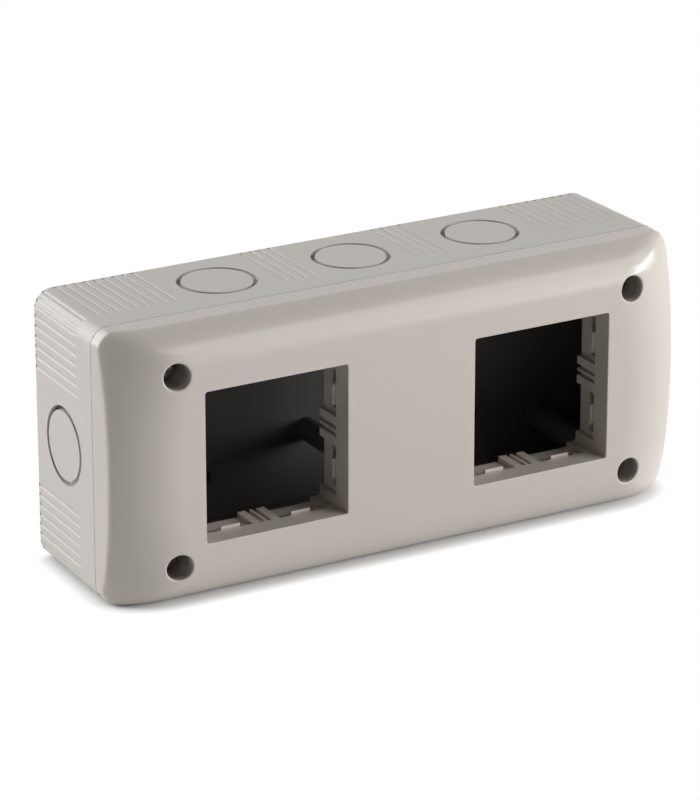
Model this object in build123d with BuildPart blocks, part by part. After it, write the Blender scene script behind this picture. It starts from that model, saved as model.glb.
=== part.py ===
from build123d import *
import os
from math import cos, hypot, radians, sin, sqrt, tan

# Surface mount box for two 45 mm module openings: a back box on the wall, a crowned
# cover that carries the snap-in collars, and the four screws that hold the cover.
# The wall face lies in the plane Y = 0, the front looks along -Y, and +Z is up.
# All sizes are in millimetres.

os.makedirs("parts", exist_ok=True)

# Outside of the closed box, at the seam between the back box and the cover
box_length = 185.2
box_height = 81.2
base_depth = 37.1
cover_depth = 16.2
corner_radius = 5.5
end_draft = 1.45
side_draft = 0.3
cover_draft = 0.8

# Walls
base_wall = 2.2
back_wall = 2.2
cover_wall = 2.2
rim_height = 1.6
rim_thickness = 1.0
rim_clearance = 0.15

# Crown of the cover: a flat middle, ends that fall away on a large radius that starts
# on a bowed line, and long sides that fall away on a smaller one
crown_reach = 19.4
crown_radius = 32.0
crown_bow = 100.0
side_crown_reach = 12.15
side_crown_radius = 12.5
crown_blend = 2.6
crease_radius = 3.0
crown_stations_long = 41
crown_stations_short = 33

# Module openings and their collars
window_pitch = 86.5
window_size = 45.0
window_corner = 0.8
reveal_depth = 7.0
collar_depth = 16.5
collar_wall = 1.6
collar_step = 1.5
guide_width = 2.5
guide_offset = 3.0
fin_width = 0.8
corner_guide_offset = 20.6
pocket_length = 12.0
pocket_depth = 4.6
latch_width = 6.0
latch_thickness = 1.2
latch_nose = 0.9
latch_gap = 0.4
latch_shift = 0.6

# Cover screws, their wells in the cover and their pillars in the back box
screw_from_end = 18.7
screw_from_side = 12.4
well_diameter = 7.7
well_wall = 2.2
well_lip = 0.3
head_diameter = 7.0
head_height = 2.2
head_shoulder = 0.9
head_depth = 7.9
seat_thickness = 2.0
shank_diameter = 3.0
shank_length = 16.0
shank_passage = 4.0
pilot_clearance = 0.05
tip_length = 3.0
tip_diameter = 0.8
pilot_depth = 18.0
pillar_diameter = 7.8
pillar_gap = 0.2
recess_width = 0.9
recess_length = 4.0
recess_depth = 1.3

# Middle posts of the back box
post_diameter = 7.0
post_x = 6.0
post_z = 16.5
post_height = 24.0
post_bore = 2.9
post_bore_depth = 15.0

# Knockouts: a ring groove leaves a thin web that is broken out for a cable or conduit
knockout_diameter = 23.2
knockout_groove = 1.35
knockout_web = 0.6
knockout_spacing = 43.3
knockout_depth_place = 18.1
back_knockout_diameter = 20.0

# Fluting between the knockouts and at the corners
flute_length = 27.2
flute_radius = 0.8
flute_depth = 0.35
flute_pitch = 3.0
end_flute_count = 7
end_flute_first = 18.0
outer_flute_count = 10
outer_flute_first = 61.2
middle_flute_count = 4
corner_flute_angles = (30.0, 60.0)

# Slots in the back wall for the wall screws
fixing_spacing_x = window_pitch
fixing_spacing_z = 50.0
fixing_slot_width = 4.6
fixing_slot_length = 10.0
fixing_pad_border = 2.4
fixing_pad_height = 1.0

# Depths from the wall
front_depth = base_depth + cover_depth
seat_depth = front_depth - head_depth - head_height
pillar_top = seat_depth - seat_thickness - pillar_gap

seam_plane = Plane.XZ.offset(base_depth)
front_plane = Plane.XZ.offset(front_depth)

screw_x = round(box_length / 2 - screw_from_end, 3)
screw_z = round(box_height / 2 - screw_from_side, 3)

# Where the flat face gives way to the crowns
crown_start = round(box_length / 2 - crown_reach, 3)
side_crown_start = round(box_height / 2 - side_crown_reach, 3)

# The back box narrows towards the wall by its draft
back_half_length = box_length / 2 - base_depth * tan(radians(end_draft))
back_half_height = box_height / 2 - base_depth * tan(radians(side_draft))

window_places = [(-window_pitch / 2, 0), (window_pitch / 2, 0)]
screw_places = [(x, z) for x in (-screw_x, screw_x) for z in (-screw_z, screw_z)]


def half_length_at(depth):
    return back_half_length + depth * tan(radians(end_draft))


def half_height_at(depth):
    return back_half_height + depth * tan(radians(side_draft))


def drafted_block(near, far, inset):
    """A block between two depths from the wall, inset from the drafted outside of the back box."""
    with BuildPart() as block:
        with BuildSketch(Plane.XY):
            with BuildLine():
                Polyline(
                    (-half_length_at(near) + inset, -near),
                    (half_length_at(near) - inset, -near),
                    (half_length_at(far) - inset, -far),
                    (-half_length_at(far) + inset, -far),
                    close=True,
                )
            make_face()
        extrude(amount=box_height, both=True)
        with BuildSketch(Plane.YZ):
            with BuildLine():
                Polyline(
                    (-near, -half_height_at(near) + inset),
                    (-near, half_height_at(near) - inset),
                    (-far, half_height_at(far) - inset),
                    (-far, -half_height_at(far) + inset),
                    close=True,
                )
            make_face()
        extrude(amount=box_length, both=True, mode=Mode.INTERSECT)
        long_edges = block.edges().filter_by(lambda edge: abs(edge.tangent_at(0.5).Y) > 0.9)
        fillet(long_edges, corner_radius - inset)
    return block.part


def arc_drop(reach, radius):
    """How far an arc that leaves the flat face tangentially has fallen after the given reach."""
    bent = min(max(reach, 0.0), 0.97 * radius)
    beyond = max(reach, 0.0) - bent
    return radius - sqrt(radius**2 - bent**2) + beyond * bent / sqrt(radius**2 - bent**2)


def crown_drop(x, z, inset):
    """Drop of the crowned face behind its flat middle: the end crown and the side crown, blended."""
    bow_centre = crown_start - crown_bow
    end_reach = hypot(abs(x) - bow_centre, z) - crown_bow
    side_reach = abs(z) - side_crown_start
    end_drop = arc_drop(end_reach, crown_radius - inset)
    side_drop = arc_drop(side_reach, side_crown_radius - inset)
    return (end_drop**crown_blend + side_drop**crown_blend) ** (1 / crown_blend)


def crowned_block(inset):
    """The body of the cover from the seam forward, inset from its outside surface."""
    half_length = box_length / 2
    half_height = box_height / 2
    xs = [half_length * (2 * i / (crown_stations_long - 1) - 1) for i in range(crown_stations_long)]
    zs = [half_height * (2 * i / (crown_stations_short - 1) - 1) for i in range(crown_stations_short)]
    surface_points = [
        [Vector(x, crown_drop(x, z, inset) + inset - front_depth, z) for z in zs] for x in xs
    ]
    crown_face = Face.make_surface_from_array_of_points(surface_points, tol=0.02, min_deg=3, max_deg=3)
    with BuildPart() as block:
        with BuildSketch(seam_plane):
            RectangleRounded(box_length - 2 * inset, box_height - 2 * inset, corner_radius - inset)
        extrude(amount=cover_depth, taper=cover_draft)
        extrude(crown_face, amount=front_depth, dir=(0, 1, 0), mode=Mode.INTERSECT)
        if inset < crease_radius / 2:
            front_face = block.faces().sort_by(Axis.Y).first
            fillet(front_face.edges(), crease_radius)
    return block.part


# Back box: one moulding with its walls, pillars, knockouts, fluting and fixing slots
base_outside = drafted_block(0, base_depth, 0)
base_inside = drafted_block(back_wall, base_depth + rim_height, base_wall)

# Rods that cut the flutes of one quarter of the box; they lie along the drafted walls
corner_x = back_half_length - corner_radius
corner_z = back_half_height - corner_radius
middle_flutes = [
    knockout_spacing / 2 + flute_pitch * (i - (middle_flute_count - 1) / 2)
    for i in range(middle_flute_count)
]
outer_flutes = [outer_flute_first + flute_pitch * i for i in range(outer_flute_count)]
flute_starts = [(x, back_half_height, 90.0, 0, 1) for x in middle_flutes + outer_flutes if x < corner_x]
for i in range(end_flute_count):
    flute_starts.append((back_half_length, end_flute_first + flute_pitch * i, 0.0, 1, 0))
for angle in corner_flute_angles:
    on_arc_x = corner_x + corner_radius * cos(radians(angle))
    on_arc_z = corner_z + corner_radius * sin(radians(angle))
    flute_starts.append((on_arc_x, on_arc_z, angle, 1, 1))

flute_rise = flute_radius - flute_depth
with BuildPart() as flute_rods:
    for x, z, angle, leans_x, leans_z in flute_starts:
        axis_x = x + flute_rise * cos(radians(angle))
        axis_z = z + flute_rise * sin(radians(angle))
        along = Vector(leans_x * tan(radians(end_draft)), -1, leans_z * tan(radians(side_draft)))
        with Locations(Plane(origin=(axis_x, 0, axis_z), z_dir=along)):
            Cylinder(flute_radius, flute_length, align=(Align.CENTER, Align.CENTER, Align.MIN))
        with Locations(Plane(origin=(axis_x, 0, axis_z), z_dir=along).offset(flute_length)):
            Sphere(flute_radius)
    mirror(about=Plane.YZ)
    mirror(about=Plane.XY)

# One knockout ring for each place on the ends, the long sides and the back wall
half_length_there = half_length_at(knockout_depth_place)
half_height_there = half_height_at(knockout_depth_place)
lean_end = radians(end_draft)
lean_side = radians(side_draft)
side_knockout_planes = []
for side in (-1, 1):
    end_origin = (side * half_length_there, -knockout_depth_place, 0)
    end_normal = (side * cos(lean_end), sin(lean_end), 0)
    side_knockout_planes.append(Plane(origin=end_origin, x_dir=(0, 0, 1), z_dir=end_normal))
    for x in (-knockout_spacing, 0, knockout_spacing):
        side_origin = (x, -knockout_depth_place, side * half_height_there)
        side_normal = (0, sin(lean_side), side * cos(lean_side))
        side_knockout_planes.append(Plane(origin=side_origin, x_dir=(1, 0, 0), z_dir=side_normal))
back_knockout_planes = [Plane(origin=(x, 0, z), z_dir=(0, 1, 0)) for x, z in window_places]

with BuildPart() as base_box:
    add(base_outside)
    # Rim that the cover locates on
    with BuildSketch(seam_plane):
        rim_inset = base_wall - rim_thickness
        RectangleRounded(box_length - 2 * rim_inset, box_height - 2 * rim_inset, corner_radius - rim_inset)
    extrude(amount=rim_height)
    add(base_inside, mode=Mode.SUBTRACT)
    # Pillars for the cover screws, middle posts and the pads round the fixing slots
    with BuildSketch(Plane.XZ):
        with Locations(*screw_places):
            Circle(pillar_diameter / 2)
    extrude(amount=pillar_top)
    with BuildSketch(Plane.XZ):
        with Locations((-post_x, -post_z), (post_x, post_z)):
            Circle(post_diameter / 2)
    extrude(amount=post_height)
    with BuildSketch(Plane.XZ):
        with GridLocations(fixing_spacing_x, fixing_spacing_z, 2, 2):
            SlotOverall(fixing_slot_length + 2 * fixing_pad_border, fixing_slot_width + 2 * fixing_pad_border)
    extrude(amount=back_wall + fixing_pad_height)
    # Bores and slots
    with BuildSketch(Plane.XZ.offset(pillar_top)):
        with Locations(*screw_places):
            Circle(shank_diameter / 2 + pilot_clearance)
    extrude(amount=-pilot_depth, mode=Mode.SUBTRACT)
    with BuildSketch(Plane.XZ.offset(post_height)):
        with Locations((-post_x, -post_z), (post_x, post_z)):
            Circle(post_bore / 2)
    extrude(amount=-post_bore_depth, mode=Mode.SUBTRACT)
    with BuildSketch(Plane.XZ):
        with GridLocations(fixing_spacing_x, fixing_spacing_z, 2, 2):
            SlotOverall(fixing_slot_length, fixing_slot_width)
    extrude(amount=back_wall + fixing_pad_height, mode=Mode.SUBTRACT)
    # Knockout rings and fluting on the outside
    with BuildSketch(*side_knockout_planes):
        Circle(knockout_diameter / 2)
        Circle(knockout_diameter / 2 - knockout_groove, mode=Mode.SUBTRACT)
    extrude(amount=knockout_web - base_wall, mode=Mode.SUBTRACT)
    with BuildSketch(*back_knockout_planes):
        Circle(back_knockout_diameter / 2)
        Circle(back_knockout_diameter / 2 - knockout_groove, mode=Mode.SUBTRACT)
    extrude(amount=knockout_web - back_wall, mode=Mode.SUBTRACT)
    add(flute_rods.part, mode=Mode.SUBTRACT)
base_box.part.label = "base_box"
export_step(base_box.part, "parts/base_box.step")

# Window collar, drawn with its front at Z = 0 and its depth along -Z: a plain reveal,
# then a wider sleeve with guide ribs that keep the opening's size for the modules
collar_outside = window_size + 2 * (collar_step + collar_wall)
guide_inner = guide_offset - guide_width / 2
guide_outer = guide_offset + guide_width / 2
recess_end = corner_guide_offset - guide_width / 2
pocket_offset = (guide_outer + recess_end) / 2
latch_offset = pocket_offset - latch_shift
sleeve_radius = window_size / 2 + collar_step
latch_front = -reveal_depth - latch_gap
latch_back = -reveal_depth - pocket_depth

with BuildPart() as latch:
    with BuildSketch(Plane.XZ):
        with BuildLine():
            Polyline(
                (sleeve_radius + latch_thickness, latch_back),
                (sleeve_radius + latch_thickness, latch_front),
                (window_size / 2 - latch_nose, latch_front),
                (window_size / 2 - latch_nose, latch_front - latch_thickness / 2),
                (sleeve_radius, latch_back + latch_thickness / 2),
                (sleeve_radius, latch_back),
                close=True,
            )
        make_face()
    extrude(amount=latch_width / 2, both=True)

with BuildPart() as collar:
    with BuildSketch(Plane.XY.offset(-cover_wall / 2)):
        Rectangle(collar_outside, collar_outside)
        RectangleRounded(window_size, window_size, window_corner, mode=Mode.SUBTRACT)
    extrude(amount=cover_wall / 2 - collar_depth)
    with BuildSketch(Plane.XY.offset(-reveal_depth)):
        with PolarLocations(window_size / 2, 4):
            with Locations((0, -pocket_offset), (0, pocket_offset)):
                Rectangle(collar_step, recess_end - guide_outer, align=(Align.MIN, Align.CENTER))
            Rectangle(collar_step, 2 * guide_inner, align=(Align.MIN, Align.CENTER))
            Rectangle(collar_step, fin_width, align=(Align.MIN, Align.CENTER), mode=Mode.SUBTRACT)
    extrude(amount=reveal_depth - collar_depth, mode=Mode.SUBTRACT)
    with BuildSketch(Plane.XY.offset(-reveal_depth)):
        with PolarLocations(sleeve_radius, 4):
            with Locations((0, -pocket_offset), (0, pocket_offset)):
                Rectangle(2 * collar_wall, pocket_length, align=(Align.MIN, Align.CENTER))
    extrude(amount=-pocket_depth, mode=Mode.SUBTRACT)
    with PolarLocations(0, 4):
        with Locations((0, -latch_offset), (0, latch_offset)):
            add(latch.part)

# Front cover: one moulding with the crowned shell, both collars and the screw wells
cover_outside = crowned_block(0)
cover_inside = crowned_block(cover_wall)

with BuildPart() as cover_void:
    add(cover_inside)
    with BuildSketch(Plane.XZ.offset(seat_depth - seat_thickness)):
        with Locations(*screw_places):
            Circle(well_diameter / 2 + well_wall)
    extrude(amount=cover_depth, mode=Mode.SUBTRACT)

with BuildPart() as front_cover:
    add(cover_outside)
    add(cover_void.part, mode=Mode.SUBTRACT)
    with BuildSketch(seam_plane):
        rebate_inset = base_wall - rim_thickness - rim_clearance
        RectangleRounded(
            box_length - 2 * rebate_inset, box_height - 2 * rebate_inset, corner_radius - rebate_inset
        )
    extrude(amount=rim_height + rim_clearance, mode=Mode.SUBTRACT)
    with BuildSketch(front_plane):
        with Locations(*window_places):
            RectangleRounded(window_size, window_size, window_corner)
    extrude(amount=-collar_depth, mode=Mode.SUBTRACT)
    with Locations(front_plane):
        with Locations(*window_places):
            add(collar.part)
    with BuildSketch(front_plane):
        with Locations(*screw_places):
            Circle(well_diameter / 2)
    extrude(amount=seat_depth - front_depth, mode=Mode.SUBTRACT)
    well_mouths = front_cover.edges(Select.LAST).filter_by(GeomType.BSPLINE)
    fillet(well_mouths, well_lip)
    with BuildSketch(front_plane):
        with Locations(*screw_places):
            Circle(shank_passage / 2)
    extrude(amount=-front_depth, mode=Mode.SUBTRACT)
front_cover.part.label = "front_cover"
export_step(front_cover.part, "parts/front_cover.step")

# Cover screw, drawn with the seat of its head at Z = 0 and its shank along -Z
with BuildPart() as cover_screw:
    with BuildSketch(Plane.XZ):
        with BuildLine():
            crown_top = (0, head_height)
            shoulder = (head_diameter / 2, head_shoulder)
            TangentArc(crown_top, shoulder, tangent=(1, 0))
            Polyline(
                shoulder,
                (head_diameter / 2, 0),
                (shank_diameter / 2, 0),
                (shank_diameter / 2, tip_length - shank_length),
                (tip_diameter / 2, -shank_length),
                (0, -shank_length),
                crown_top,
            )
        make_face()
    revolve(axis=Axis.Z)
    with BuildSketch(Plane.XY.offset(head_height)):
        Rectangle(recess_length, recess_width)
        Rectangle(recess_width, recess_length)
    extrude(amount=-recess_depth, mode=Mode.SUBTRACT)

sides = {-screw_x: "left", screw_x: "right"}
levels = {-screw_z: "bottom", screw_z: "top"}
for x, z in screw_places:
    with BuildPart() as placed_screw:
        with Locations(Plane.XZ.offset(seat_depth)):
            with Locations((x, z)):
                add(cover_screw.part)
    screw_name = f"cover_screw_{levels[z]}_{sides[x]}"
    placed_screw.part.label = screw_name
    export_step(placed_screw.part, f"parts/{screw_name}.step")
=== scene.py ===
import math

import bmesh
import bpy
import numpy as np
from mathutils import Matrix, Vector


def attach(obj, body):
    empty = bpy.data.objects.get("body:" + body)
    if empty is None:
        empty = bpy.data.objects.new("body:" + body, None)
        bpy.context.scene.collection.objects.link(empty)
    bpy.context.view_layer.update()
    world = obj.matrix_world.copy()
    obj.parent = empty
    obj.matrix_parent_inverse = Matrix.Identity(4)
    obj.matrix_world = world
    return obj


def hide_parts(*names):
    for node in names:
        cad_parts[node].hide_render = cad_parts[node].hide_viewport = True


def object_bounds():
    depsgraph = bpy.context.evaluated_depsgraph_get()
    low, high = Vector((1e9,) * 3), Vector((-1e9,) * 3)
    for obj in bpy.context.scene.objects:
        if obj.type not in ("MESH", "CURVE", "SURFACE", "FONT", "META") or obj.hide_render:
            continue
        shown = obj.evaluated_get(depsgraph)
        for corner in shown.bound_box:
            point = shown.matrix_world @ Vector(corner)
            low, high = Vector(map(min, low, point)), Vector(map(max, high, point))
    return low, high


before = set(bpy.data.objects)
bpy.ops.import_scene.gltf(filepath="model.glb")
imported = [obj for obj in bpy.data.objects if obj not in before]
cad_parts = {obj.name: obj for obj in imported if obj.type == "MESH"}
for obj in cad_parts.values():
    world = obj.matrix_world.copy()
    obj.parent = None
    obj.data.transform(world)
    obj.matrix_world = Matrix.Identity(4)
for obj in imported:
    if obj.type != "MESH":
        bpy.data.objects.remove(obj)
cad_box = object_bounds()

# Back box: one thermoplastic moulding in warm white, with the dull spark-eroded skin of its
# mould. It carries the walls, the knockout rings, the fluting, the screw pillars and the
# middle posts, and it is screwed to the wall through the slots in its back.


class Wire:
    """A shader socket that takes part in sums: each operator adds one Math node."""

    def __init__(self, finish, socket):
        self.finish, self.socket = finish, socket

    def other(self, out):
        """Another output of the same node."""
        return Wire(self.finish, self.socket.node.outputs[out])

    def math(self, operation, first, second):
        """The result of a Math node on two values or sockets."""
        return self.finish.node("ShaderNodeMath", {"operation": operation}, {0: first, 1: second})

    def unsigned(self):
        """The value without its sign."""
        return self.finish.node("ShaderNodeMath", {"operation": "ABSOLUTE"}, {0: self})

    def below(self, limit):
        """One where the value is under the limit, else zero."""
        return self.math("LESS_THAN", self, limit)

    def __add__(self, other):
        return self.math("ADD", self, other)

    def __radd__(self, other):
        return self.math("ADD", other, self)

    def __sub__(self, other):
        return self.math("SUBTRACT", self, other)

    def __rsub__(self, other):
        return self.math("SUBTRACT", other, self)

    def __mul__(self, other):
        return self.math("MULTIPLY", self, other)

    def __rmul__(self, other):
        return self.math("MULTIPLY", other, self)


class Finish:
    """The nodes of a material, or of the world, and the method that adds them."""

    def __init__(self, owner):
        self.owner = owner
        owner.use_nodes = True
        self.tree = owner.node_tree
        self.tree.nodes.clear()

    def node(self, kind, settings=None, sockets=None, out=0):
        """Adds a node: its settings first, then the values or links of its sockets."""
        made = self.tree.nodes.new(kind)
        for key, value in (settings or {}).items():
            setattr(made, key, value)
        for key, value in (sockets or {}).items():
            if isinstance(value, Wire):
                self.tree.links.new(value.socket, made.inputs[key])
            else:
                made.inputs[key].default_value = value
        return Wire(self, made.outputs[out]) if made.outputs else None

    def blend(self, share, first, second):
        """A colour between two colours: the first at a share of zero, the second at one."""
        sockets = {"Factor": share, "A": first, "B": second}
        return self.node("ShaderNodeMix", {"data_type": "RGBA"}, sockets, out=2)

    def surface(self, shader, kind="ShaderNodeOutputMaterial"):
        """Ends the nodes with their output, and gives back the material or world."""
        self.node(kind, None, {"Surface": shader})
        return self.owner


def opaque(colour):
    """A colour with the full alpha that a socket asks for."""
    return tuple(colour) + (1,)


def moulded_plastic(name, colour, roughness, grain_size, grain_height, shade_mask, shade_depths, shade_colour):
    """Moulded plastic: the colour goes between itself and a slightly darker one with a large noise,
    and a fine noise is the grain of the mould's skin. Painted shade: where the shade mask is one,
    the colour goes to the shade colour from the first to the second of the shade_depths from the wall.
    Lengths are in mm."""
    cloud_scale, cloud_tint, cloud_gloss, grain_gloss = 24.0, 0.03, 0.06, 0.08
    finish = Finish(bpy.data.materials.new(name))
    place = finish.node("ShaderNodeTexCoord", out=3)
    clouds = finish.node(
        "ShaderNodeTexNoise",
        None,
        {"Vector": place, "Scale": cloud_scale, "Detail": 3.0, "Roughness": 0.55},
    )
    grain = finish.node(
        "ShaderNodeTexNoise",
        None,
        {"Vector": place, "Scale": 1000 / grain_size, "Detail": 2.0, "Roughness": 0.6},
    )
    darker = [part * (1 - cloud_tint) for part in colour]
    shade = finish.blend(clouds, opaque(darker), opaque(colour))
    across = finish.node("ShaderNodeSeparateXYZ", None, {0: place})
    along_y, up = across.other(1), across.other(2)
    # Painted shade: past the shade_depths from the wall, the colour goes dark where the shade mask is one
    sunk = finish.node(
        "ShaderNodeMapRange",
        None,
        {"Value": along_y, "From Min": -shade_depths[0] / 1000, "From Max": -shade_depths[1] / 1000},
    )
    shade = finish.blend(shade_mask(across.unsigned(), up.unsigned()) * sunk, shade, opaque(shade_colour))
    bump = finish.node(
        "ShaderNodeBump", None, {"Strength": 0.5, "Distance": grain_height / 1000, "Height": grain}
    )
    plastic = finish.node(
        "ShaderNodeBsdfPrincipled",
        None,
        {
            "Base Color": shade,
            "Roughness": roughness + (grain - 0.5) * grain_gloss + (clouds - 0.5) * cloud_gloss,
            "IOR": 1.49,
            "Normal": bump,
        },
    )
    return finish.surface(plastic)


def merged_copy(name):
    """A copy of a CAD node's mesh with its doubled vertices joined and its stored normals dropped."""
    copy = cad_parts[name].data.copy()
    work = bmesh.new()
    work.from_mesh(copy)
    bmesh.ops.remove_doubles(work, verts=work.verts, dist=1e-6)
    work.to_mesh(copy)
    work.free()
    stored = copy.attributes.get("custom_normal")
    if stored:
        copy.attributes.remove(stored)
    return copy


def places_of(mesh):
    """The mesh's vertices as rows of x, z and depth from the wall, in mm."""
    flat = np.empty(3 * len(mesh.vertices))
    mesh.vertices.foreach_get("co", flat)
    p = flat.reshape(-1, 3) * 1000
    return np.stack([p[:, 0], p[:, 2], -p[:, 1]], -1)


def in_metres(x, z, depth):
    """Rows of places in the frame's own axes, in metres, from x, z and depth in mm."""
    return np.stack([x, -depth, z], -1) / 1000


def finished(mesh, name, node, material):
    """The object of a finished piece: smooth but for its real edges, in place of its CAD node."""
    mesh.shade_smooth()
    mesh.set_sharp_from_angle(angle=math.radians(32))
    mesh.materials.clear()
    mesh.materials.append(material)
    piece = bpy.data.objects.new(name, mesh)
    bpy.context.scene.collection.objects.link(piece)
    even = piece.modifiers.new("even", "WEIGHTED_NORMAL")
    even.keep_sharp = True
    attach(piece, "root")
    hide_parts(node)


# The outline at the seam, in mm, and how far a side leans in for each mm towards the wall
box_half_length, box_half_height = round(cad_box[1][0] * 1000, 3), round(cad_box[1][2] * 1000, 3)
outline_radius, seam_depth = 5.5, 37.1
end_slope, side_slope = math.tan(math.radians(1.45)), math.tan(math.radians(0.3))
flute_reach, flute_depth, flute_kept, flute_edge = 28.5, 0.36, 0.65, 0.002
# Painted shade in the back box: its inset from the walls, and the depth from the wall where it starts and
# where it is full; then the plastic's own colour and the colour of the painted shade
inside_from, cavity_shade_depths = 2.1, (0.5, 0.6)
base_colour, cavity_shade_colour = (0.57, 0.53, 0.497), (0.1, 0.092, 0.08)


def outline_distance(x, z, half_x, half_z):
    """Distance outside a rounded rectangle, and the direction straight out from its nearest side.
    The corner's offsets are what is left past the straight sides; where either is over zero the
    distance is their length less the radius, and elsewhere the larger of the two less the radius."""
    qx, qz = np.abs(x) - half_x + outline_radius, np.abs(z) - half_z + outline_radius
    corner_x, corner_z = np.maximum(qx, 0), np.maximum(qz, 0)
    reach = np.hypot(corner_x, corner_z)
    turned = reach > 1e-6
    out_x = np.where(turned, corner_x / np.maximum(reach, 1e-6), qx > qz) * np.sign(x)
    out_z = np.where(turned, corner_z / np.maximum(reach, 1e-6), qx <= qz) * np.sign(z)
    return reach + np.minimum(np.maximum(qx, qz), 0) - outline_radius, out_x, out_z


def cavity_shade_mask(across, rise):
    """The mask of painted shade: one inside the walls of the back box, zero on its outside."""
    inside_x, inside_z = box_half_length - inside_from, box_half_height - inside_from
    return across.below(inside_x / 1000) * rise.below(inside_z / 1000)


# The grooves of the fluting keep their edges and part of their depth, as soft as in the photo
base_mesh = merged_copy("base_box")
corners = places_of(base_mesh)
behind = seam_depth - corners[:, 2]
sunk, out_x, out_z = outline_distance(
    corners[:, 0], corners[:, 1], box_half_length - behind * end_slope, box_half_height - behind * side_slope
)
in_flute = (sunk > -flute_depth) & (sunk < -flute_edge) & (corners[:, 2] < flute_reach)
lift = np.where(in_flute, -sunk * (1 - flute_kept), 0)
raised = in_metres(corners[:, 0] + out_x * lift, corners[:, 1] + out_z * lift, corners[:, 2])
base_mesh.vertices.foreach_set("co", raised.ravel())
# The back box's plastic, with painted shade inside its walls
base_finish = moulded_plastic(
    "base_plastic",
    base_colour,
    roughness=0.46,
    grain_size=0.35,
    grain_height=0.02,
    shade_mask=cavity_shade_mask,
    shade_depths=cavity_shade_depths,
    shade_colour=cavity_shade_colour,
)
finished(base_mesh, "base", "base_box", base_finish)

# Front cover: one glossy moulding of the same plastic, held to the back box by the four screws.
# Its face is flat round the openings, falls away towards the ends and the long sides, and turns
# into the side wall over a rounded crease.

# Sizes of the real cover, in mm
front_depth = round(-cad_box[0][1] * 1000, 3)
crown_reach, crown_radius, crown_bow = 19.4, 32.0, 100.0
side_crown_reach, side_crown_radius, crown_blend = 12.15, 12.5, 2.6
crease_radius, side_draft = 3.0, math.tan(math.radians(0.8))
window_x, window_half, window_corner, window_lip = 43.25, 22.5, 0.8, 0.25
screw_from_end, screw_from_side, head_depth, head_height = 18.7, 12.4, 7.9, 2.2
well_radius, well_lip = 3.85, 0.45
seam_edge = 0.15
crown_start = round(box_half_length - crown_reach, 3)
side_crown_start = round(box_half_height - side_crown_reach, 3)
screw_x, screw_z = round(box_half_length - screw_from_end, 3), round(box_half_height - screw_from_side, 3)
seat_depth = round(front_depth - head_depth - head_height, 3)
# The cover's own colour; the painted shade in its wells, with the depth from the wall where it starts and
# where it is full, and its colour
cover_colour, well_shade_depths, well_shade_colour = (0.59, 0.528, 0.48), (52.5, 49.5), (0.28, 0.25, 0.222)


def arc_drop(reach, radius):
    """Fall of an arc that leaves the flat tangentially: the radius less the root of its square
    less the reach's square. Near the arc's end it is carried on straight at its last slope."""
    reach = np.maximum(reach, 0)
    bent = np.minimum(reach, 0.97 * radius)
    run = np.sqrt(radius**2 - bent**2)
    return radius - run + (reach - bent) * bent / run


def crown_depth(x, z):
    """Depth of the face from the wall. The end crown falls from a bowed line and the side crown
    from a straight one, and the two falls are added as powers and the root of the sum taken."""
    end_drop = arc_drop(np.hypot(np.abs(x) - crown_start + crown_bow, z) - crown_bow, crown_radius)
    side_drop = arc_drop(np.abs(z) - side_crown_start, side_crown_radius)
    return front_depth - (end_drop**crown_blend + side_drop**crown_blend) ** (1 / crown_blend)


def skin_distance(p, step=0.01):
    """Distance outside the cover. Where both surfaces are near, the point's offset from the axis
    of the crease round follows from its distances to the crown and to the wall, and from the
    cosine between their normals; elsewhere the larger of the two distances holds."""
    x, z, depth = p[..., 0], p[..., 1], p[..., 2]
    slope_x = (crown_depth(x + step, z) - crown_depth(x - step, z)) / (2 * step)
    slope_z = (crown_depth(x, z + step) - crown_depth(x, z - step)) / (2 * step)
    steepness = np.sqrt(1 + slope_x**2 + slope_z**2)
    above = (depth - crown_depth(x, z)) / steepness
    beside, wall_x, wall_z = outline_distance(x, z, box_half_length, box_half_height)
    beside = beside + (depth - seam_depth) * side_draft
    cosine = (side_draft - slope_x * wall_x - slope_z * wall_z) / steepness
    cosine = np.clip(cosine, 0, 0.999)
    up, out = above + crease_radius, beside + crease_radius
    in_round = (up > cosine * out) & (out > cosine * up)
    spread = np.maximum(up**2 + out**2 - 2 * cosine * up * out, 0) / (1 - cosine**2)
    return np.where(in_round, np.sqrt(spread) - crease_radius, np.maximum(above, beside))


def onto_skin(p, step=0.01):
    """Brings points to where the skin distance is zero: each Newton step goes against the
    distance's slope by the distance over the slope's squared length."""
    for _ in range(8):
        gap = skin_distance(p)
        offsets = np.eye(3) * step
        slope = np.stack([(skin_distance(p + s) - skin_distance(p - s)) / (2 * step) for s in offsets], -1)
        p = p - slope * (gap / np.maximum((slope**2).sum(-1), 1e-6))[..., None]
    return p


class Shell:
    """Gathers grids of points (x, z, depth from the wall, in mm) into one mesh."""

    def __init__(self):
        self.points, self.faces, self.count = [], [], 0

    def add(self, grid, closed=False):
        """Adds a grid's points, with a quad between each pair of neighbouring rows and columns;
        a closed grid joins its last column to its first."""
        rows, columns = grid.shape[:2]
        spans = np.arange(columns if closed else columns - 1)
        i, j = np.meshgrid(np.arange(rows - 1), spans, indexing="ij")
        k = (j + 1) % columns
        quads = np.stack([i * columns + j, i * columns + k, (i + 1) * columns + k, (i + 1) * columns + j], -1)
        self.faces.append(quads.reshape(-1, 4) + self.count)
        self.points.append(grid.reshape(-1, 3))
        self.count += rows * columns

    def mesh(self, name):
        """One mesh of all the grids, in the frame's own axes."""
        p = np.concatenate(self.points)
        made = bpy.data.meshes.new(name)
        made.from_pydata(in_metres(p[:, 0], p[:, 1], p[:, 2]), [], np.concatenate(self.faces))
        return made


def stations(low, high, pitch):
    """Evenly spaced places from low to high, about a pitch apart."""
    return np.linspace(low, high, max(1, round((high - low) / pitch)) + 1)


def joined(*runs):
    """Runs of places end to end, each shared end kept once."""
    return np.concatenate([runs[0]] + [run[1:] for run in runs[1:]])


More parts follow.
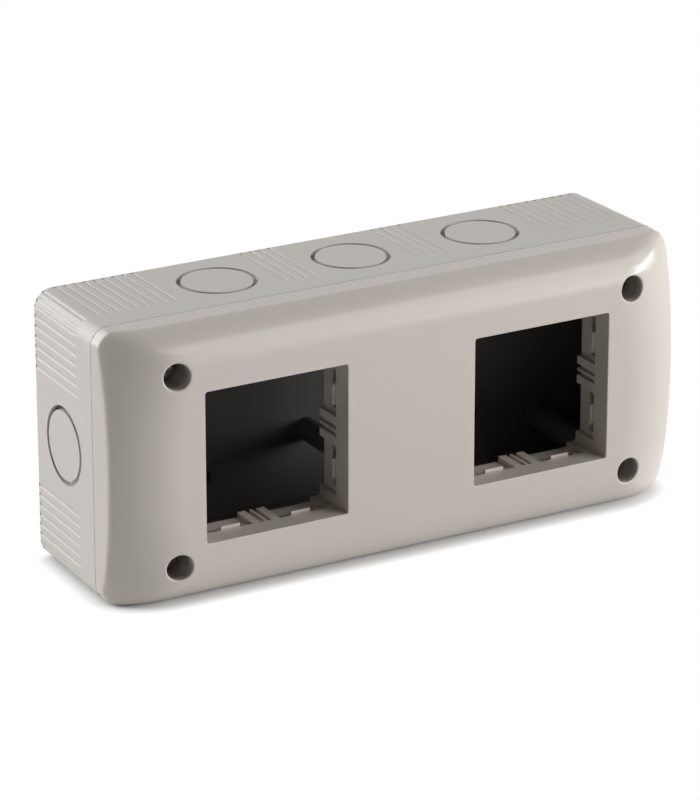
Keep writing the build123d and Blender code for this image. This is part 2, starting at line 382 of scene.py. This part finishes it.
# The face is a grid of columns and rows that leaves a square patch round each opening and a
# small patch round each well, and is finer beside their corners
face_half_length, face_half_height, pitch, fine_pitch = 81.0, 34.6, 1.5, 0.3
patch_half, corner_run, well_half_x, well_half_z = 23.5, 0.9, 6.0, 4.7
patch_straight = patch_half - corner_run
window_run = joined(
    stations(-patch_half, -patch_straight, fine_pitch),
    stations(-patch_straight, patch_straight, pitch),
    stations(patch_straight, patch_half, fine_pitch),
)
well_run_x, well_run_z = stations(-well_half_x, well_half_x, 1.0), stations(-well_half_z, well_half_z, 0.8)
right_x = joined(
    stations(window_x + patch_half, screw_x - well_half_x, pitch),
    screw_x + well_run_x,
    stations(screw_x + well_half_x, face_half_length, pitch),
)
middle_x = stations(-window_x + patch_half, window_x - patch_half, pitch)
column_runs = [-right_x[::-1], -window_x + window_run, middle_x, window_x + window_run, right_x]
top_z = joined(screw_z + well_run_z, stations(screw_z + well_half_z, face_half_height, pitch))
row_runs = [-top_z[::-1], window_run, top_z]


def blocks_round_well(xs, zs):
    """The four index blocks (from, to in x and in z) that surround the well's patch in a grid."""
    within_x = np.flatnonzero(np.abs(np.abs(xs) - screw_x) <= well_half_x + 1e-6)
    within_z = np.flatnonzero(np.abs(np.abs(zs) - screw_z) <= well_half_z + 1e-6)
    left, right, low, high = within_x[0], within_x[-1], within_z[0], within_z[-1]
    return [
        (0, left + 1, 0, len(zs)),
        (right, len(xs), 0, len(zs)),
        (left, right + 1, 0, low + 1),
        (left, right + 1, high, len(zs)),
    ]


shell = Shell()
for i, xs in enumerate(column_runs):
    for j, zs in enumerate(row_runs):
        at_window = i in (1, 3) and j == 1
        at_well = i in (0, 4) and j in (0, 2)
        if at_window:
            continue
        x, z = np.meshgrid(xs, zs, indexing="ij")
        for a, b, c, d in blocks_round_well(xs, zs) if at_well else [(0, len(xs), 0, len(zs))]:
            if b - a > 1 and d - c > 1:
                px, pz = x[a:b, c:d], z[a:b, c:d]
                shell.add(np.stack([px, pz, crown_depth(px, pz)], -1)[::-1])


def loop(run_x, run_z):
    """Places round a rectangle, anticlockwise from its lower left corner, without repeats."""
    bottom, top = np.full(len(run_x) - 1, run_z[0]), np.full(len(run_x) - 1, run_z[-1])
    left, right = np.full(len(run_z) - 1, run_x[0]), np.full(len(run_z) - 1, run_x[-1])
    xs = np.concatenate([run_x[:-1], right, run_x[::-1][:-1], left])
    zs = np.concatenate([bottom, run_z[:-1], top, run_z[::-1][:-1]])
    return xs, zs


def rounded(xs, zs, half, share, straight, reach):
    """Maps places round a rectangle onto a rounded one. Its half sizes, the share of each that goes
    to the straight and the straights' half lengths are pairs in x and z. Up to that share a place
    is spread over the straight; past it, it turns the corner's eighth at the given reach."""
    on_x = np.abs(np.abs(zs) - half[1]) < 1e-6
    along = np.where(on_x, np.abs(xs) / half[0], np.abs(zs) / half[1])
    limit = np.where(on_x, share[0], share[1])
    turn = np.clip((along - limit) / (1 - limit), 0, 1) * math.pi / 4
    flat = np.minimum(along / limit, 1)
    px = np.where(on_x, flat * straight[0] + reach * np.sin(turn), straight[0] + reach * np.cos(turn))
    pz = np.where(on_x, straight[1] + reach * np.cos(turn), flat * straight[1] + reach * np.sin(turn))
    return np.copysign(px, xs), np.copysign(pz, zs)


# The ring from the flat face over the crease and down the side wall to the seam: its rows go
# out in shares of the way to the outline, then down in shares of the wall's height
ring_x, ring_z = loop(joined(*column_runs), joined(*row_runs))
straight = np.array([box_half_length, box_half_height]) - outline_radius
share = straight / (straight + outline_radius * math.pi / 4)
edge_x, edge_z = rounded(
    ring_x, ring_z, (face_half_length, face_half_height), share, straight, outline_radius
)
inward = np.array([0, 0.12, 0.24, 0.35, 0.45, 0.54, 0.62, 0.69, 0.75, 0.81, 0.86, 0.91, 0.96, 1.0])[:, None]
down = np.array([0.03, 0.07, 0.12, 0.17, 0.23, 0.3, 0.38, 0.47, 0.58, 0.7, 0.84, 1.0])[:, None]
over_x, over_z = ring_x + (edge_x - ring_x) * inward, ring_z + (edge_z - ring_z) * inward
over = np.stack([over_x, over_z, crown_depth(over_x, over_z)], -1)
brink = over[-1][None, :, 2]
wall_depth = brink + (seam_depth + seam_edge - brink) * down
wall = np.stack(np.broadcast_arrays(edge_x[None], edge_z[None], wall_depth), -1)
ring = onto_skin(np.concatenate([over[1:], wall]))
seam = ring[-1:].copy()
seam[..., 2] = seam_depth
seam[..., :2] *= 1 - seam_edge / np.hypot(seam[..., 0], seam[..., 1])[..., None]
shell.add(np.concatenate([over[:1], ring, seam]), closed=True)


def window_patch(middle_x):
    """The face from the square patch to an opening, and the small round at the opening's edge:
    a quarter circle, whose sine takes the growth away and whose cosine gives the fall."""
    xs, zs = loop(window_run, window_run)
    half, share = np.full(2, patch_half), np.full(2, patch_straight / patch_half)
    straight = np.full(2, window_half - window_corner)
    rows = [np.stack([xs, zs, np.full_like(xs, front_depth)], -1)]
    for turn in np.linspace(0, math.pi / 2, 6):
        reach = window_corner + window_lip * (1 - math.sin(turn))
        px, pz = rounded(xs, zs, half, share, straight, reach)
        fall = window_lip * (1 - math.cos(turn))
        rows.append(np.stack([px, pz, np.full_like(px, front_depth - fall)], -1))
    patch = np.stack(rows)[::-1]
    patch[..., 0] += middle_x
    return patch


def well_patch(middle_x, middle_z):
    """The face from the small patch to a well, drawn together onto a circle, then the quarter
    circle of the well's rounded mouth, then the straight bore down to the seat of the head."""
    xs, zs = loop(well_run_x, well_run_z)
    angle = np.arctan2(zs / well_half_z, xs / well_half_x)
    mouth = well_radius + well_lip
    rows = []
    for share in np.linspace(0, 1, 5):
        px = middle_x + xs + (mouth * np.cos(angle) - xs) * share
        pz = middle_z + zs + (mouth * np.sin(angle) - zs) * share
        rows.append(np.stack([px, pz, crown_depth(px, pz)], -1))
    rim = rows[-1][:, 2]
    for turn in np.linspace(0, math.pi / 2, 8)[1:]:
        reach = well_radius + well_lip * (1 - math.sin(turn))
        px, pz = middle_x + reach * np.cos(angle), middle_z + reach * np.sin(angle)
        rows.append(np.stack([px, pz, rim - well_lip * (1 - math.cos(turn))], -1))
    px, pz, neck = rows[-1].T
    for share in (0.3, 0.7, 1.0):
        rows.append(np.stack([px, pz, neck + (seat_depth - neck) * share], -1))
    return np.stack(rows)[::-1]


for side in (-1, 1):
    shell.add(window_patch(side * window_x), closed=True)
for side in (-1, 1):
    for level in (-1, 1):
        shell.add(well_patch(side * screw_x, level * screw_z), closed=True)

# The inside, the collars and the well seats: the CAD node without its skin and bores, cut back
# to the openings' rounded edges and joined to the skin
near_skin, near_bore, near_edge = 0.45, 0.4, 0.05
cover_mesh = merged_copy("front_cover")
corners = places_of(cover_mesh)
on_skin = np.abs(skin_distance(corners)) < near_skin
to_well = np.hypot(np.abs(corners[:, 0]) - screw_x, np.abs(corners[:, 1]) - screw_z)
in_bore = (np.abs(to_well - well_radius) < near_bore) & (corners[:, 2] > seat_depth - near_edge)
at_seam = corners[:, 2] < seam_depth + near_edge
at_seat = corners[:, 2] < seat_depth + near_edge
marks = np.empty(len(cover_mesh.loops), np.int32)
cover_mesh.loops.foreach_get("vertex_index", marks)


def whole(marked):
    """The triangles whose three corners are all marked."""
    return marked[marks.reshape(-1, 3)].all(1)


dropped = ~whole(at_seam) & (whole(on_skin) | (whole(on_skin | in_bore) & ~whole(at_seat)))
inner = bmesh.new()
inner.from_mesh(cover_mesh)
inner.faces.ensure_lookup_table()
gone = [inner.faces[i] for i in np.flatnonzero(dropped).tolist()]
bmesh.ops.delete(inner, geom=gone, context="FACES")
bmesh.ops.bisect_plane(
    inner,
    geom=inner.verts[:] + inner.edges[:] + inner.faces[:],
    plane_co=(0, -(front_depth - window_lip) / 1000, 0),
    plane_no=(0, -1, 0),
    clear_outer=True,
)
inner.from_mesh(shell.mesh("cover_skin"))
bmesh.ops.remove_doubles(inner, verts=inner.verts, dist=2e-6)
inner.to_mesh(cover_mesh)
inner.free()


def well_shade_mask(across, rise):
    """The mask of painted shade in the wells: one within the bore round a screw's axis, where the two
    offsets' squares add to less than the square of the bore's radius and a little more."""
    off_x, off_z = across - screw_x / 1000, rise - screw_z / 1000
    return (off_x * off_x + off_z * off_z).below((well_radius + near_edge) ** 2 / 1e6)


# The cover's plastic, with painted shade in the bores of its wells
cover_finish = moulded_plastic(
    "cover_plastic",
    cover_colour,
    roughness=0.24,
    grain_size=12.0,
    grain_height=0.03,
    shade_mask=well_shade_mask,
    shade_depths=well_shade_depths,
    shade_colour=well_shade_colour,
)
finished(cover_mesh, "cover", "front_cover", cover_finish)

# Cover screws: zinc plated steel with a pan head and a cross recess, sunk in the wells of the
# cover and turned into the pillars of the back box. Their shape is that of their CAD nodes.
zinc_dark, zinc_light = (0.42, 0.43, 0.4), (0.74, 0.75, 0.72)
zinc_roughness, zinc_spread, spot_scale = 0.28, 0.2, 900.0
screw_finish = Finish(bpy.data.materials.new("screw_zinc"))
place = screw_finish.node("ShaderNodeTexCoord", out=3)
spots = screw_finish.node(
    "ShaderNodeTexNoise",
    None,
    {"Vector": place, "Scale": spot_scale, "Detail": 4.0, "Roughness": 0.6},
)
zinc = screw_finish.blend(spots, opaque(zinc_dark), opaque(zinc_light))
screw_metal = screw_finish.node(
    "ShaderNodeBsdfPrincipled",
    None,
    {"Base Color": zinc, "Metallic": 1.0, "Roughness": zinc_roughness + spots * zinc_spread},
)
screw_finish.surface(screw_metal)
for name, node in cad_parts.items():
    if name.startswith("cover_screw"):
        node.data.materials.clear()
        node.data.materials.append(screw_finish.owner)

# Stage: a white floor that the box stands on by its lower long side, dark cards of painted shade
# just inside the fixing slots, soft lamps and the camera at the photo's angle.
floor_half, floor_height = 6.0, cad_box[0][2]
signs = np.array([(-1, -1), (1, -1), (1, 1), (-1, 1)])


def stage_piece(name, corners, material):
    """An object of the stage: one quad for each four corners in turn."""
    mesh = bpy.data.meshes.new(name)
    mesh.from_pydata(corners, [], np.arange(len(corners)).reshape(-1, 4))
    mesh.materials.append(material)
    piece = bpy.data.objects.new(name, mesh)
    bpy.context.scene.collection.objects.link(piece)


def seen_rays(finish):
    """One for camera, glossy and transmission rays: those that show the background."""
    ray = finish.node("ShaderNodeLightPath")
    return ray + ray.other("Is Glossy Ray") + ray.other("Is Transmission Ray")


# The floor is white to those rays where nothing stands close to it, and a matt white elsewhere
near_reach, closed_at, open_at = 0.006, 0.3, 0.8
floor_finish = Finish(bpy.data.materials.new("floor_white"))
openness = floor_finish.node(
    "ShaderNodeAmbientOcclusion", {"samples": 16}, {"Distance": near_reach}, out=1
)
clear = floor_finish.node(
    "ShaderNodeMapRange", None, {"Value": openness, "From Min": closed_at, "From Max": open_at}
)
white = floor_finish.node("ShaderNodeEmission", None, {"Color": (1, 1, 1, 1), "Strength": 1.0})
paper = floor_finish.node("ShaderNodeBsdfDiffuse", None, {"Color": (0.9, 0.9, 0.9, 1)})
floor_shader = floor_finish.node(
    "ShaderNodeMixShader", None, {0: seen_rays(floor_finish) * clear, 1: paper, 2: white}
)
floor_corners = np.column_stack([signs * floor_half, np.full(4, floor_height)])
stage_piece("floor", floor_corners, floor_finish.surface(floor_shader))

# One card of painted shade just inside the mouth of each fixing slot, which keeps the slot dark, in mm
slot_middle, slot_half, card_depth = (43.25, 25.0), (5.0, 2.3), 0.4
slot_shade_finish = Finish(bpy.data.materials.new("slot_painted_shade"))
dark = slot_shade_finish.node("ShaderNodeBsdfDiffuse", None, {"Color": (0.02, 0.02, 0.02, 1)})
card_places = ((signs * slot_middle)[:, None] + signs * slot_half).reshape(-1, 2)
card_corners = in_metres(card_places[:, 0], card_places[:, 1], np.full(len(card_places), card_depth))
stage_piece("slot_shade_cards", card_corners, slot_shade_finish.surface(dark))

# Two lamps on the right light the face, a long one gives the band of light along the crown,
# and two behind on the left light the near end and the top
lamp_distance = 1.5


def softbox(name, towards, size, power, colour=(1, 1, 1)):
    """An area lamp at the lamps' distance along a direction, turned to face the box."""
    data = bpy.data.lights.new(name, "AREA")
    data.shape = "RECTANGLE"
    data.size, data.size_y = size
    data.energy, data.color = power, colour
    lamp = bpy.data.objects.new(name, data)
    way = Vector(towards).normalized()
    lamp.location = way * lamp_distance
    lamp.rotation_euler = way.to_track_quat("Z", "Y").to_euler()
    bpy.context.scene.collection.objects.link(lamp)


softbox("lamp_front_right", (0.7, -0.76, 0.36), (1.0, 1.0), 8.2, (1.0, 0.983, 0.96))
softbox("lamp_low_right", (0.85, -0.5, 0.12), (1.1, 0.5), 15.0, (0.9, 0.97, 1.0))
softbox("lamp_band", (0.46, -0.55, 0.68), (1.4, 0.25), 3.8)
softbox("lamp_behind_left", (-0.6, 0.8, 0.4), (1.8, 1.8), 27.5, (0.945, 0.972, 1.0))
softbox("lamp_left", (-0.9, 0.78, 0.35), (1.4, 1.4), 9.3, (0.97, 0.972, 0.97))

# The world is white as a background and a dim warm fill as a light
bpy.context.scene.world = bpy.data.worlds.new("world")
sky = Finish(bpy.context.scene.world)
white_sky = sky.node("ShaderNodeBackground", None, {"Color": (1, 1, 1, 1)})
dim_sky = sky.node("ShaderNodeBackground", None, {"Color": (1, 0.97, 0.94, 1), "Strength": 0.02})
sky_shader = sky.node("ShaderNodeMixShader", None, {0: seen_rays(sky), 1: dim_sky, 2: white_sky})
sky.surface(sky_shader, "ShaderNodeOutputWorld")

# The camera solved from the photo: its place in metres, its angles in degrees, its lens in mm
camera_place, camera_azimuth, camera_elevation = (-0.5655, -1.0126, 0.4315), -29.616, 20.825
camera_data = bpy.data.cameras.new("camera")
camera_data.sensor_fit = "AUTO"
camera_data.sensor_width, camera_data.lens = 36.0, 189.95
camera_data.clip_start, camera_data.clip_end = 0.05, 60
camera = bpy.data.objects.new("camera", camera_data)
azimuth, elevation = math.radians(camera_azimuth), math.radians(camera_elevation)
level = math.cos(elevation)
back = Vector((math.sin(azimuth) * level, -math.cos(azimuth) * level, math.sin(elevation)))
right = Vector((math.cos(azimuth), math.sin(azimuth), 0))
turned = Matrix((right, back.cross(right), back)).transposed().to_4x4()
camera.matrix_world = Matrix.Translation(camera_place) @ turned
bpy.context.scene.collection.objects.link(camera)
bpy.context.scene.camera = camera
bpy.context.scene.view_settings.view_transform = "Standard"
